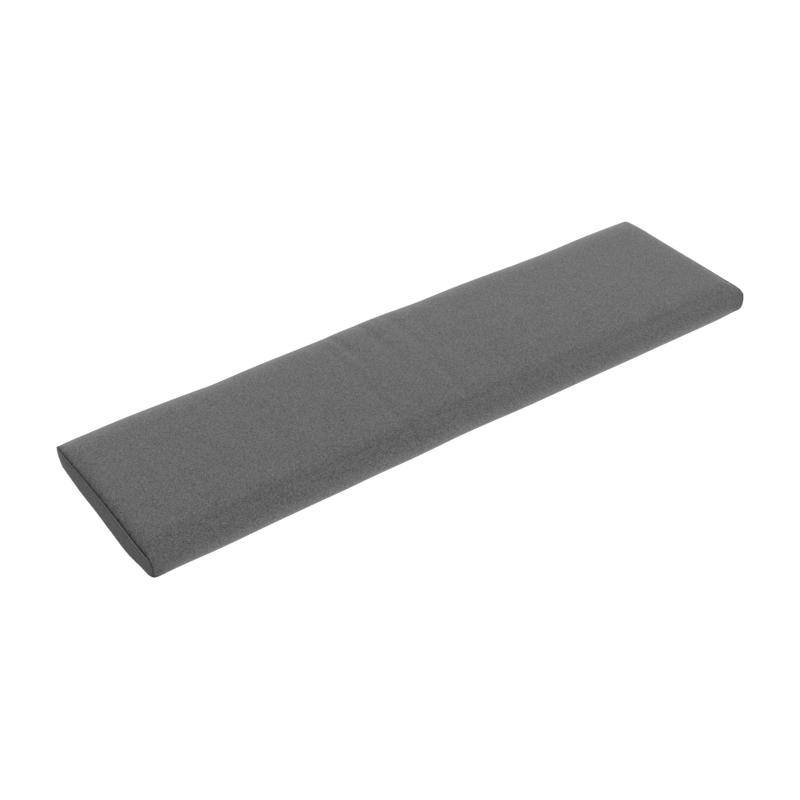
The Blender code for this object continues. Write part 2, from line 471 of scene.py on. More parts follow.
@dataclass
class ClosedShell:
    """A tube of rings that a grid closes at either end."""

    rings: Array  # points, rings x ring points x 3
    low: Array  # points, across x up x 3, with the first ring as the border
    high: Array
    grid: SectionGrid

    def faces(self) -> tuple[Array, Array]:
        """Joins the tube and the two grids in one closed skin.

        Returns:
            Points, and the point indices of each face: the tube's, then the low and high grids'.
        """
        count, around = self.rings.shape[:2]
        tube = np.arange(count * around).reshape(count, around)
        quads = [cells(np.concatenate([tube, tube[:, :1]], axis=1)).reshape(-1, 4)]
        points = [self.rings.reshape(-1, 3)]
        border = self.grid.border()
        total = count * around
        for cap, ring, flip in ((self.low, tube[0], False), (self.high, tube[-1], True)):
            ids = np.full(cap.shape[:2], -1)
            ids[border] = ring
            inner = ids < 0
            ids[inner] = total + np.arange(inner.sum())
            points.append(cap[inner])
            total += int(inner.sum())
            quads.append(cells(ids, flip).reshape(-1, 4))
        return np.concatenate(points), np.concatenate(quads)


def cloth_map(tube: Array, end: Array) -> Array:
    """The flat places of a shell's face corners, from those of its tube and of its end grids."""
    return np.concatenate([cells(*part).reshape(-1, 2) for part in ((tube,), (end,), (end, True))])


def make_piece(name: str, points: Array, quads: Array, corner_map: Array, wear_and_painted_light: Array) -> Piece:
    """Puts worked-out points and faces into a smooth mesh object.

    Args:
        name: the object's name.
        points: the points, in metres.
        quads: four point indices for each face.
        corner_map: the place of each face corner on the flat cloth, in metres.
        wear_and_painted_light: at each point, how worn the cloth is or how much highlight is painted
            on it, above 0, and how much shade is painted on it, below 0, for the material.

    Returns:
        The object, at the origin, with its faces pointing outwards.
    """
    first, second, third, fourth = (points[quads[:, i]] for i in range(4))
    volume = np.einsum("ij,ij->i", first + third, np.cross(third - first, fourth - second)).sum()
    if volume < 0:
        quads = quads[:, ::-1]
        corner_map = corner_map.reshape(-1, 4, 2)[:, ::-1].reshape(-1, 2)
    mesh = bpy.data.meshes.new(name)
    mesh.vertices.add(len(points))
    mesh.vertices.foreach_set("co", points.astype(np.float32).ravel())
    mesh.loops.add(quads.size)
    mesh.loops.foreach_set("vertex_index", quads.astype(np.int32).ravel())
    mesh.polygons.add(len(quads))
    mesh.polygons.foreach_set("loop_start", np.arange(0, quads.size, 4, dtype=np.int32))
    flat = mesh.uv_layers.new(name="cloth")
    flat.data.foreach_set("uv", corner_map.astype(np.float32).ravel())
    layer = mesh.attributes.new("wear_and_painted_light", 'FLOAT', 'POINT')
    layer.data.foreach_set("value", wear_and_painted_light.astype(np.float32))
    mesh.update(calc_edges=True)
    mesh.validate()
    mesh.shade_smooth()
    LOG.info("%s: %d faces", name, len(quads))
    return new_object(name, mesh)


def new_object(name: str, data: bpy.types.ID) -> Piece:
    """Makes an object of its data and links it to the scene.

    Args:
        name: the object's name.
        data: its mesh, lamp or camera.

    Returns:
        The object.
    """
    made = bpy.data.objects.new(name, data)
    bpy.context.scene.collection.objects.link(made)
    return made


def skin_normals(rings: Array) -> Array:
    """Outward unit normals of a tube: its slope along crossed with its slope around.

    Args:
        rings: points of the tube, rings x ring points x 3.

    Returns:
        A normal for each point.
    """
    along = np.gradient(rings, axis=0)
    around = np.roll(rings, -1, axis=1) - np.roll(rings, 1, axis=1)
    normals = np.cross(along, around)
    normals /= np.maximum(np.linalg.norm(normals, axis=-1, keepdims=True), 1e-12)
    outward = np.sign((normals * (rings - rings.mean(axis=1, keepdims=True))).sum())
    return normals * outward


@dataclass
class WrapCover:
    """The cloth that wraps the pad: top, rolled long sides and underside, with its filling."""

    form: PadForm
    name: str = "wrap_cover"
    across_count: int = 151
    up_count: int = 27
    plain_step: float = 0.0070  # between rings along the cushion
    creased_step: float = 0.0029
    creased_to: float = 0.150  # the creased stretch runs this far either side
    # Places of the rings by an end, in metres from it
    end_steps: tuple[float, ...] = (
        0.0, 0.0002, 0.0005, 0.0009, 0.0014, 0.002, 0.0028, 0.0037, 0.0048, 0.006, 0.0074, 0.009,
        0.0108, 0.0128, 0.015, 0.0175, 0.0205, 0.024, 0.028, 0.033)
    # The cover's run into the groove: back from the end, and down, in millimetres
    groove: Pairs = ((0.2, 0.3), (0.4, 0.9), (0.5, 1.8), (0.55, 2.8))
    groove_floor: float = 0.0015  # the closing face stands back from the panel's
    crease_side: float = 0.1  # share of a crease's depth that is left on the long sides
    crease_fade: float = 4.0
    gather_depth: float = 0.0012  # of the gathers beside the end seams
    gather_reach: float = 0.008
    gather_power: float = 1.5
    gather_shift: float = 0.3  # sets the right seam's gathers apart from the left one's
    dip_depth: float = 0.0024  # how far the cloth is drawn down beside an end seam
    dip_reach: float = 0.0092
    dip_power: float = 1.3
    dip_back: float = 0.4  # its way back from the seam is this share of its way down
    shade_reach: float = 0.0016  # the painted shade in a seam dies away over this way from it
    side_shade: float = 0.45  # share of the painted shade that is left down the sides
    far_shade: float = 0.9  # the right seam's painted shade, as a share of the left one's
    rub_place: float = 0.965  # the rolled edges are rubbed here, as a place across
    rub_half: float = 0.08
    rub_wear: float = 0.08
    sim_counts: tuple[int, int] = (51, 9)  # places across and up of the simulated cover
    sim_step: float = 0.008
    sim_growth: float = 0.004  # the cloth is this share larger than the form
    sim_foam: float = 0.3  # how hard the foam holds the cloth to the form
    sim_frames: int = 20
    sim_share: float = 0.16  # of its stray that the drawn-tight cover keeps
    sim_cap: float = 0.0004  # no point strays farther than this
    grid: SectionGrid = field(init=False)

    def __post_init__(self) -> None:
        """Spaces the grid over the cross-section."""
        self.grid = SectionGrid.even(self.form, self.across_count, self.up_count)

    def stations(self) -> Array:
        """Places along, -1 to 1: close at the ends, even elsewhere, closer where it is creased.

        Returns:
            The places, from the left end to the right one.
        """
        half = self.form.length / 2
        ends = np.array(self.end_steps)
        last = half - ends[-1]
        plain = np.linspace(self.creased_to, last, round((last - self.creased_to) / self.plain_step))
        creased = np.linspace(0, self.creased_to, round(self.creased_to / self.creased_step))
        right = np.concatenate([creased[:-1], plain[:-1], half - ends[::-1]])
        return np.concatenate([-right[:0:-1], right]) / half

    def relief(self, x: Array, b: Array, c: Array, way: Array) -> Array:
        """How deep creases, puckers and gathers press the cloth in.

        A crease is a soft dent about a line from the back to the front, and fades with a power of
        the place across and down the sides. A pucker is a soft dent about a short line, as deep
        along it as half a sine. A gather is where an uneven line along an end seam is above 0, to a
        power, and dies away from the seam.

        Args:
            x: places along, in metres, one row for each ring.
            b: places across, -1 to 1.
            c: places up, -1 to 1.
            way: ways over the cloth from the middle line of the top, in metres.

        Returns:
            Depths in metres.
        """
        back = (1 + b) / 2
        side = between(1, self.crease_side, np.abs(b) ** self.crease_fade) * (1 + c) / 2
        depth = np.zeros(np.broadcast(x, b).shape)
        for crease in CREASES:
            off = (x - between(crease.front_x, crease.back_x, back)) / crease.half_width
            depths = [crease.front_depth, crease.middle_depth, crease.back_depth]
            depth += np.interp(b, [-1, 0, 1], depths) * side * soft_dent(off)
        for pucker in PUCKERS:
            start = np.array([pucker.x, pucker.way])
            line = np.array([pucker.to_x, pucker.to_way]) - start
            size = np.linalg.norm(line)
            line = line / size
            along = ((x - start[0]) * line[0] + (way - start[1]) * line[1]) / size
            off = ((x - start[0]) * line[1] - (way - start[1]) * line[0]) / pucker.half_width
            depth += pucker.depth * soft_dent(off) * np.sin(np.pi * np.clip(along, 0, 1))
        from_seam = self.form.length / 2 - np.abs(x)
        line = uneven_line(way + self.gather_shift * np.sign(x), GATHER_WAVES)
        return depth + (self.gather_depth * self.form.sewn("dip", x, b)
                        * np.clip(line, 0, None) ** self.gather_power
                        * np.exp(-from_seam / self.gather_reach))

    def drawn_down(self, x: Array, b: Array, c: Array) -> Array:
        """How far the cloth is drawn down by an end seam, less away from it and down the sides."""
        away = ((self.form.length / 2 - np.abs(x)) / self.dip_reach) ** self.dip_power
        return self.dip_depth * self.form.sewn("dip", x, b) * (1 + c) / 2 * np.exp(-away)

    def settled(self, stations: Array) -> Array:
        """Simulates the cover over its foam and returns how it strays from the even form.

        The cloth is a little larger than the form and pinned along its end seams and underside. The
        foam holds it softly elsewhere, so that it settles in soft waves. The mean stray along each
        line is taken off, because the form already has the photographed outline.

        Args:
            stations: the places along of the fine cover.

        Returns:
            Outward strays in metres, one for each fine ring point.
        """
        grid = SectionGrid.even(self.form, *self.sim_counts)
        b, c = grid.ring()
        along = np.linspace(-1, 1, 1 + round(self.form.length / self.sim_step))
        rings = self.form.point(along[:, None], b, c)
        b_face, c_face = grid.face()
        shell = ClosedShell(rings, self.form.point(np.float64(-1), b_face, c_face),
                            self.form.point(np.float64(1), b_face, c_face), grid)
        points, quads = shell.faces()
        cover = make_piece("settling_cover", points, quads, np.zeros((quads.size, 2)),
                           np.zeros(len(points)))
        tube = rings.shape[0] * rings.shape[1]
        sewn = np.ones(len(points), bool)
        sewn[:tube] = ((np.abs(along[:, None]) == 1) | (c == -1)).ravel()
        pinned = cover.vertex_groups.new(name="pinned")
        pinned.add(range(len(points)), self.sim_foam, 'REPLACE')
        pinned.add(np.flatnonzero(sewn).tolist(), 1.0, 'REPLACE')
        cloth = cover.modifiers.new("settling", 'CLOTH')
        for label, value in SETTLING_CLOTH.items():
            setattr(cloth.settings, label, value)
        cloth.settings.effector_weights.gravity = 0
        cloth.settings.vertex_group_mass = pinned.name
        cloth.settings.shrink_min = -self.sim_growth
        for frame_number in range(1, self.sim_frames + 1):
            bpy.context.scene.frame_set(frame_number)
        seen = cover.evaluated_get(bpy.context.evaluated_depsgraph_get())
        settled = np.empty(len(points) * 3, np.float32)
        seen.data.vertices.foreach_get("co", settled)
        mesh = cover.data
        bpy.data.objects.remove(cover, do_unlink=True)
        bpy.data.meshes.remove(mesh)
        bpy.context.scene.frame_set(1)
        moved = settled.reshape(-1, 3)[:tube].reshape(rings.shape) - rings
        stray = (moved * skin_normals(rings)).sum(axis=-1)
        LOG.info("settled cover strays %.2f to %.2f mm", stray.min() / MM, stray.max() / MM)
        stray = (stray - stray.mean(axis=0)) * self.sim_share
        stray = self.sim_cap * np.tanh(stray / self.sim_cap)
        fine = ring_way(self.form.point(np.zeros(1), *self.grid.ring()))
        coarse = ring_way(self.form.point(np.zeros(1), b, c))
        around = np.stack([np.interp(fine[:-1], coarse, np.append(row, row[0])) for row in stray])
        return np.stack([np.interp(stations, along, column) for column in around.T], axis=1)

    def build(self) -> Piece:
        """Builds the cover as one closed, finely gridded shell.

        The rings follow the form, then move along their normals by the settled stray less the
        relief. At each end seam the cloth turns in and runs down into the groove.

        Returns:
            The cover's object.
        """
        stations = self.stations()
        b, c = self.grid.ring()
        rings = self.form.point(stations[:, None], b, c)
        normals = skin_normals(rings)
        way = ring_way(rings[len(stations) // 2])
        middle_top = np.argmin(np.where(c < 1, np.inf, np.abs(b)))
        from_top = way[:-1] - way[middle_top]
        stray = self.settled(stations)
        x = stations[:, None] * self.form.length / 2
        free = np.where(c > -1, 1.0, 0.0)
        rings = rings + normals * ((stray - self.relief(x, b, c, from_top)) * free)[..., None]
        dip = self.drawn_down(x, b, c)
        rings = rings - np.stack([np.sign(x) * dip * self.dip_back, np.zeros_like(dip), dip], axis=-1)
        ends = []
        for side, ring in ((-1, rings[0]), (1, rings[-1])):
            inward = ring_inward(ring)
            out = np.array([side * MM, 0, 0]) * self.form.sewn("gape", side, b)[:, None]
            ends.append([ring + inward * down * MM - out * back for back, down in self.groove])
        rings = np.concatenate([ends[0][::-1], rings, ends[1]])
        low = self.closing_face(End.LEFT, rings[0])
        high = self.closing_face(End.RIGHT, rings[-1])
        points, quads = ClosedShell(rings, low, high, self.grid).faces()
        run = way_along(rings[:, middle_top])
        tube_map = np.stack(np.broadcast_arrays(run[:, None], way), axis=-1)
        corners = cloth_map(tube_map, self.form.flat_end(*self.grid.face()))
        return make_piece(self.name, points, quads, corners, self.wear_and_painted_light(stations))

    def closing_face(self, end: End, ring: Array) -> Array:
        """The hidden face that closes the cover behind an end panel.

        Args:
            end: the end that it closes.
            ring: the last ring of the groove.

        Returns:
            A grid whose border is the ring.
        """
        b, c = self.grid.face()
        face = self.form.point(np.float64(end.value), b, c)
        swell = self.form.swell(end, b, c)
        face[..., 0] += end.value * (thinned(swell) - self.groove_floor)
        border = self.grid.border()
        face[border] = ring
        return face

    def wear_and_painted_light(self, stations: Array) -> Array:
        """How worn each point's cloth is, above 0 on the rolled edges, and its painted shade, down to
        -1 in a seam and fading beside it.

        Args:
            stations: the places along of the rings between the grooves.

        Returns:
            The value of each point, in the order of ClosedShell.faces.
        """
        b, c = self.grid.ring()
        off = np.abs(np.abs(b) - self.rub_place) / self.rub_half
        rubbed = np.clip(1 - off, 0, 1) * (c > 0) * self.rub_wear
        along = np.pad(stations, len(self.groove), mode="edge")
        from_seam = self.form.length / 2 * (1 - np.abs(along))
        # Shade painted into the colour in each end seam and beside it, less at the right one and down
        # the sides
        shade = np.exp(-from_seam / self.shade_reach) * np.where(along < 0, 1, self.far_shade)
        wear_and_painted_light = (rubbed - shade[:, None] * between(self.side_shade, 1, (1 + c) / 2)).ravel()
        caps = (self.across_count - 2) * (self.up_count - 2) * 2
        return np.concatenate([wear_and_painted_light, np.zeros(caps)])


def thinned(swell: Array) -> Array:
    """A panel's inner face: its swell less its cloth, which thins to none at the seam."""
    return swell ** 2 / (swell + PANEL_CLOTH)


def ring_way(ring: Array) -> Array:
    """Ways from a ring's first point to each of its points, and once more round to the first."""
    return way_along(np.concatenate([ring, ring[:1]]))


def ring_inward(ring: Array) -> Array:
    """Unit vectors from a ring's points into the ring, square to it, in the YZ plane.

    Args:
        ring: points of the ring, in order.

    Returns:
        A vector for each point.
    """
    along = np.roll(ring, -1, axis=0) - np.roll(ring, 1, axis=0)
    inward = np.stack([np.zeros(len(ring)), -along[:, 2], along[:, 1]], axis=-1)
    inward /= np.linalg.norm(inward, axis=1, keepdims=True)
    towards = np.sign((inward * (ring.mean(axis=0) - ring)).sum())
    return inward * towards


@dataclass
class EndPanel:
    """A strip of the cover cloth that closes an end, with its edge turned in along the seam."""

    form: PadForm
    end: End
    name: str
    across_count: int = 281
    up_count: int = 41
    crowding: tuple[float, float] = (1.2, 1.6)
    lip_out: float = 0.0007  # the turned edge stands this far out of the seam's plane
    lip_reach: float = 0.0011  # and dies away over this way into the panel
    lip_low: float = 0.25  # share of the lip that is left at the lower seam
    tuck_depth: float = 0.0010  # of the hollow under the turned edge
    tuck_way: float = 0.0034
    tuck_reach: float = 0.0022
    gather_height: float = 0.0005  # of the small gathers across the panel's edge
    gather_reach: float = 0.008
    gather_scale: float = 1.3  # their waves are this much closer than the wrap's
    gather_shift: float = 0.02
    inner_out: float = 0.0002  # the inner face clears the wrap's closing face
    edge_run: float = 0.002  # way over the cloth of the turned edge
    edge_sway: float = 0.25  # share by which the turned edge's height comes and goes
    # The turned edge: out of the seam's plane, and above the seam, in millimetres
    edge: Pairs = ((0.65, 0.3), (0.52, 0.55), (0.36, 0.7), (0.16, 0.65), (0.05, 0.25), (0.0, -0.6),
                   (0.0, -1.4), (0.0, -2.4), (0.0, -3.2))
    # Painted light on the rings of the turned edge, from the panel's face on: painted highlight on
    # its crest above 0, painted shade down in the groove below 0
    edge_painted_light: tuple[float, ...] = (0.0, 0.1, 0.7, 1.0, 1.0, 0.5, -0.4, -0.8)

    def build(self) -> Piece:
        """Builds the panel as a closed shell: its face, its turned edge and its inner face.

        The face lies the panel's swell beyond the seam, plus a lip that dies away from the seam,
        less a hollow under it. Both sink with the cube of the height down the sides. The edge curls
        over the seam and down into the groove.

        Returns:
            The panel's object.
        """
        grid = SectionGrid.even(self.form, self.across_count, self.up_count).crowded(*self.crowding)
        side = self.end.value
        b, c = grid.face()
        seam = self.form.point(np.float64(side), b, c)
        face = seam.copy()
        border = grid.border()
        ring = seam[border]
        way = ring_way(ring)
        inside = self.way_in(b, c)
        standing = between(self.lip_low, self.form.sewn("stand", side, b), ((1 + c) / 2) ** 3)
        tuck = self.tuck_depth * np.exp(-((inside - self.tuck_way) / self.tuck_reach) ** 2)
        lip = (self.lip_out * np.exp(-(inside / self.lip_reach) ** 2) - tuck) * standing
        face[..., 0] += side * (self.form.swell(self.end, b, c) + lip + self.ripples(b, inside))
        inward = ring_inward(ring)
        height = 1 + self.edge_sway * uneven_line(way[:-1], EDGE_WAVES)
        rings = [face[border]]
        for out, up in self.edge:
            rise = up * MM * np.where(up > 0, height * standing[border], 1)
            lifted = ring - inward * rise[:, None]
            lifted[:, 0] += side * out * MM * standing[border]
            rings.append(lifted)
        inner = seam.copy()
        inner[..., 0] += side * (thinned(self.form.swell(self.end, b, c)) + self.inner_out)
        inner[border] = rings[-1]
        points, quads = ClosedShell(np.stack(rings), face, inner, grid).faces()
        run = np.arange(len(rings)) * self.edge_run / len(rings)
        tube_map = np.stack(np.broadcast_arrays(way, run[:, None]), axis=-1)
        corners = cloth_map(tube_map, self.form.flat_end(b, c))
        wear_and_painted_light = np.zeros(len(points))
        edge_painted_light = np.array(self.edge_painted_light)
        # The right panel's turned edge gets less painted highlight
        if self.end is End.RIGHT:
            edge_painted_light *= np.where(edge_painted_light > 0, self.form.far_seam, 1)
        wear_and_painted_light[:len(ring) * len(edge_painted_light)] = np.repeat(edge_painted_light, len(ring))
        return make_piece(self.name, points, quads, corners, wear_and_painted_light)

    def way_in(self, b: Array, c: Array) -> Array:
        """How far a point of the panel lies in from the nearest stretch of its seam.

        Args:
            b: places across, -1 to 1.
            c: places up, -1 to 1.

        Returns:
            Ways in metres.
        """
        across = (1 - np.abs(b)) * (self.form.width / 2 - self.form.end_draw)
        up = (1 - np.abs(c)) * (self.form.thickness - self.form.end_drop) / 2
        return np.minimum(across, up)

    def ripples(self, b: Array, inside: Array) -> Array:
        """Heights of the small gathers across the panel's edge, which die away from it.

        Args:
            b: places across, -1 to 1.
            inside: ways in from the seam, in metres.

        Returns:
            Heights in metres.
        """
        along = b * self.form.width / 2 * self.gather_scale + self.gather_shift
        fading = np.exp(-inside / self.gather_reach)
        return self.gather_height * uneven_line(along, GATHER_WAVES) * fading


def new_group(name: str, outputs: tuple[str, ...]) -> Tree:
    """Starts a shader node group that takes a place on the cloth and gives named values.

    Args:
        name: the group's name.
        outputs: the names of its values.

    Returns:
        The group, with its input and output nodes.
    """
    group = bpy.data.node_groups.new(name, 'ShaderNodeTree')
    group.interface.new_socket("Place", in_out='INPUT', socket_type='NodeSocketVector')
    for label in outputs:
        group.interface.new_socket(label, in_out='OUTPUT', socket_type='NodeSocketFloat')
    group.nodes.new('NodeGroupInput')
    group.nodes.new('NodeGroupOutput')
    return group


@dataclass
class NodeWriter:
    """Adds nodes to a tree and links them, so that a formula reads as one."""

    tree: Tree

    def node(self, kind: str, settings: dict[str, object] | None = None,
             **inputs: object) -> bpy.types.Node:
        """Adds a node.

        Args:
            kind: the node's type.
            settings: the node's own properties.
            **inputs: sockets by name, with _ for a blank, each with a value or an output to link.

        Returns:
            The node.
        """
        made = self.tree.nodes.new(kind)
        for label, value in (settings or {}).items():
            setattr(made, label, value)
        self.fill(made, **inputs)
        return made

    def fill(self, node: bpy.types.Node, **inputs: object) -> None:
        """Links or sets a node's sockets by name, with _ for a blank."""
        for label, value in inputs.items():
            self.put(node.inputs[label.replace("_", " ")], value)

    def put(self, socket: Socket, value: object) -> None:
        """Links an output to a socket, or sets the socket's value.

        Args:
            socket: the input socket.
            value: an output to link, or a value.
        """
        if isinstance(value, Socket):
            self.tree.links.new(value, socket)
        else:
            socket.default_value = value

    def math(self, operation: str, *values: object) -> Socket:
        """A Math node's result for the given values or outputs.

        Args:
            operation: the node's operation.
            *values: its values or outputs, in order.

        Returns:
            The result's socket.
        """
        made = self.tree.nodes.new('ShaderNodeMath')
        made.operation = operation
        for i, value in enumerate(values):
            self.put(made.inputs[i], value)
        return made.outputs[0]

    def mixed(self, share: Socket, first: object, second: object) -> Socket:
        """The colour a share of the way from the first to the second, kept between them.

        Args:
            share: the share's output.
            first: a colour, or its output.
            second: the other colour.

        Returns:
            The colour's socket.
        """
        made = self.node('ShaderNodeMix', {"data_type": 'RGBA', "clamp_factor": True}, Factor=share)
        self.put(made.inputs[6], first)
        self.put(made.inputs[7], second)
        return made.outputs[2]

    def scaled(self, vector: Socket, scale: Triple) -> Socket:
        """A vector times a scale for each axis.

        Args:
            vector: the vector's output.
            scale: the scale of each axis.

        Returns:
            The scaled vector's socket.
        """
        made = self.tree.nodes.new('ShaderNodeVectorMath')
        made.operation = 'MULTIPLY'
        self.put(made.inputs[0], vector)
        made.inputs[1].default_value = scale
        return made.outputs[0]

    def fading(self, value: Socket, none_at: float, full_at: float) -> Socket:
        """A smooth step from 0, where the value is none_at, to 1, where it is full_at.

        Args:
            value: the value's output.
            none_at: the value that gives 0.
            full_at: the value that gives 1.

        Returns:
            The step's socket.
        """
        made = self.node('ShaderNodeMapRange', {"interpolation_type": 'SMOOTHSTEP'}, Value=value,
                         From_Min=none_at, From_Max=full_at)
        return made.outputs["Result"]

    def noise(self, vector: Socket, scale: float, detail: float = 2.0,
              roughness: float = 0.5) -> Socket:
        """A Noise Texture's value, about 0.5 on average.

        Args:
            vector: the place's output.
            scale: how many patches there are in a unit.
            detail: how many finer layers it has.
            roughness: how strong they are.

        Returns:
            The value's socket.
        """
        made = self.node('ShaderNodeTexNoise', {"noise_dimensions": '3D'}, Vector=vector, Scale=scale,
                         Detail=detail, Roughness=roughness)
        return made.outputs["Fac"]


def weave_group(pitch: float) -> Tree:
    """Builds the plain weave: yarns over and under one another, spun from dark and light fibres.

    The height is that of the yarn on top, whose share is (1 + sine along warp x sine along weft) / 2,
    and of the yarns' round backs. Each crossing has a tone of its own, the fleck, and slower noises
    drawn out along the warp and the weft join some crossings into short streaks.

    Args:
        pitch: from one yarn to the next, in metres.

    Returns:
        The group. It takes the flat place on the cloth in metres.
    """
    group = new_group("plain_weave", ("Height", "Fleck", "Streak", "Gap"))
    write = NodeWriter(group)
    place = group.nodes["Group Input"].outputs["Place"]
    turns = write.scaled(place, (np.pi / pitch, np.pi / pitch, 0))
    apart = write.node('ShaderNodeSeparateXYZ', Vector=turns)
    sine_u = write.math('SINE', apart.outputs["X"])
    sine_v = write.math('SINE', apart.outputs["Y"])
    over = write.math('MULTIPLY_ADD', write.math('MULTIPLY', sine_u, sine_v), 0.5, 0.5)
    back_u, back_v = write.math('ABSOLUTE', sine_u), write.math('ABSOLUTE', sine_v)
    ridge = write.math('MAXIMUM', back_u, back_v)
    gap = write.math('SUBTRACT', 1.0, write.math('MINIMUM', back_u, back_v))
    cell = write.node('ShaderNodeVectorMath', {"operation": 'FLOOR'})
    write.put(cell.inputs[0], write.scaled(place, (1 / pitch, 1 / pitch, 0)))
    fleck = write.node('ShaderNodeTexWhiteNoise', {"noise_dimensions": '2D'}, Vector=cell.outputs[0])
    slow_warp, slow_weft = 1 / (STREAK_WARP * pitch), 1 / (STREAK_WEFT * pitch)
    warp = write.noise(write.scaled(place, (slow_warp, 1 / pitch, 0)), 1.0, roughness=0.6)
    weft = write.noise(write.scaled(place, (1 / pitch, slow_weft, 0)), 1.0, roughness=0.6)
    streak = write.node('ShaderNodeMix', {"data_type": 'FLOAT'}, Factor=over, A=warp, B=weft)
    backs = write.math('MULTIPLY', ridge, BACK_SHARE)
    height = write.math('MULTIPLY_ADD', over, 1 - BACK_SHARE, backs)
    write.fill(group.nodes["Group Output"], Height=height, Fleck=fleck.outputs["Value"],
               Streak=streak.outputs["Result"], Gap=gap)
    return group


def mottle_group() -> Tree:
    """Builds the uneven dye: broad soft patches and faint bands where thicker yarns run.

    Returns:
        The group. It takes the flat place on the cloth in metres and gives a value about 0.5.
    """
    group = new_group("uneven_dye", ("Tone",))
    write = NodeWriter(group)
    place = group.nodes["Group Input"].outputs["Place"]
    patches = write.noise(place, DYE_PATCHES, 3.0)
    bands = write.noise(write.scaled(place, DYE_BANDS), 1.0)
    rest = write.math('MULTIPLY', bands, 1 - PATCH_SHARE)
    tone = write.math('MULTIPLY_ADD', patches, PATCH_SHARE, rest)
    write.fill(group.nodes["Group Output"], Tone=tone)
    return group


@dataclass(frozen=True)
class WovenCloth:
    """The finish of the cover: matt, heathered plain-woven cloth."""

    dark: Triple = (0.076, 0.076, 0.0756)
    light: Triple = (0.229, 0.229, 0.2275)
    # Pale colour of worn cloth and of the painted highlight on the turned edges
    worn_and_highlight: Triple = (0.38, 0.38, 0.378)
    # Colour of the painted shade in and beside the seams
    painted_shade: Triple = (0.025, 0.025, 0.025)
    wear_and_highlight_share: float = 0.9
    fleck_gain: float = 1.5
    streak_gain: float = 0.25
    dye_gain: float = 0.35
    weave_height: float = 0.00015
    weave_strength: float = 0.6
    roughness: float = 0.88
    gap_roughness: float = 0.06  # how much rougher it is between the yarns
    gloss: float = 0.25
    sheen: float = 0.30
    sheen_roughness: float = 0.40

    def material(self, name: str, weave: Tree, mottle: Tree) -> bpy.types.Material:
        """Builds the cloth's material.

        The colour runs from the dark fibres to the light ones by the yarn's fleck and the uneven
        dye. Worn places and the painted highlight on the turned edges go towards the pale colour, and
        the painted shade in and beside a seam, where the value is below 0, towards the dark one.

        Args:
            name: the material's name.
            weave: the plain weave group.
            mottle: the uneven dye group.

        Returns:
            The material.
        """
        material = bpy.data.materials.new(name)
        material.use_nodes = True
        write = NodeWriter(material.node_tree)
        shader = material.node_tree.nodes["Principled BSDF"]
        flat = write.node('ShaderNodeUVMap', {"uv_map": "cloth"}).outputs["UV"]
        yarn = write.node('ShaderNodeGroup', {"node_tree": weave}, Place=flat)
        dye = write.node('ShaderNodeGroup', {"node_tree": mottle}, Place=flat)
        wear_and_painted_light = write.node('ShaderNodeAttribute', {"attribute_name": "wear_and_painted_light"}).outputs["Fac"]
        tone = 0.5
        for value, gain in ((yarn.outputs["Fleck"], self.fleck_gain),
                            (yarn.outputs["Streak"], self.streak_gain),
                            (dye.outputs["Tone"], self.dye_gain)):
            tone = write.math('MULTIPLY_ADD', write.math('SUBTRACT', value, 0.5), gain, tone)
        colour = write.mixed(tone, (*self.dark, 1), (*self.light, 1))
        # Wear and painted highlight lighten the colour, and painted shade, below 0, darkens it
        colour = write.mixed(write.math('MULTIPLY', wear_and_painted_light, self.wear_and_highlight_share), colour, (*self.worn_and_highlight, 1))
        colour = write.mixed(write.math('MULTIPLY', wear_and_painted_light, -1.0), colour, (*self.painted_shade, 1))
        rough = write.math('MULTIPLY_ADD', yarn.outputs["Gap"], self.gap_roughness, self.roughness)
        bump = write.node('ShaderNodeBump', Strength=self.weave_strength, Distance=self.weave_height,
                          Height=yarn.outputs["Height"])
        write.fill(shader, Base_Color=colour, Roughness=rough, Normal=bump.outputs["Normal"],
                   Sheen_Weight=self.sheen, Sheen_Roughness=self.sheen_roughness,
                   Specular_IOR_Level=self.gloss)
        return material


class SoftBox(NamedTuple):
    """A square studio light: where it hangs about the cushion, and how bright it is."""

    name: str
    azimuth: float  # degrees, 0 in front of the cushion (-Y), 90 at its right (+X)
    elevation: float
    distance: float
    size: float
    power: float


